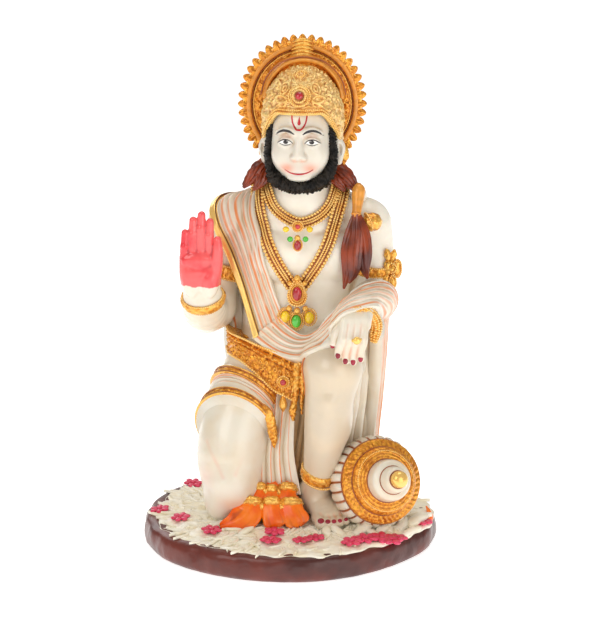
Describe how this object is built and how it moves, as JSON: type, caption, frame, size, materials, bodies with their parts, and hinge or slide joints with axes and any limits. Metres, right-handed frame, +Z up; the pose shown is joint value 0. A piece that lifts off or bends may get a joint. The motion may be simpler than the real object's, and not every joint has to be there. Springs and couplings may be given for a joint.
{
  "type": "hanuman figure",
  "caption": "Painted cast figure of a crowned, bearded monkey-faced hero half kneeling on an oval ground, palm raised in blessing, other hand on the raised knee, mace beside the foot.",
  "frame": {"origin": "middle of the flat underside of the oval ground", "axes": "+Z up; -Y is the side the figure faces; +X is the figure's left, the side of the mace"},
  "size_m": [0.117, 0.1, 0.198],
  "materials": {
    "painted_resin": "gloss",
    "gold_paint": "satin",
    "black_paint": "satin",
    "brown_paint": "satin",
    "orange_paint": "gloss",
    "pink_paint": "satin",
    "red_stone": "gloss",
    "green_stone": "gloss",
    "yellow_stone": "gloss",
    "maroon_rim": "satin"
  },
  "bodies": {
    "root": {"hanuman_statue": "painted_resin"}
  },
  "joints": []
}
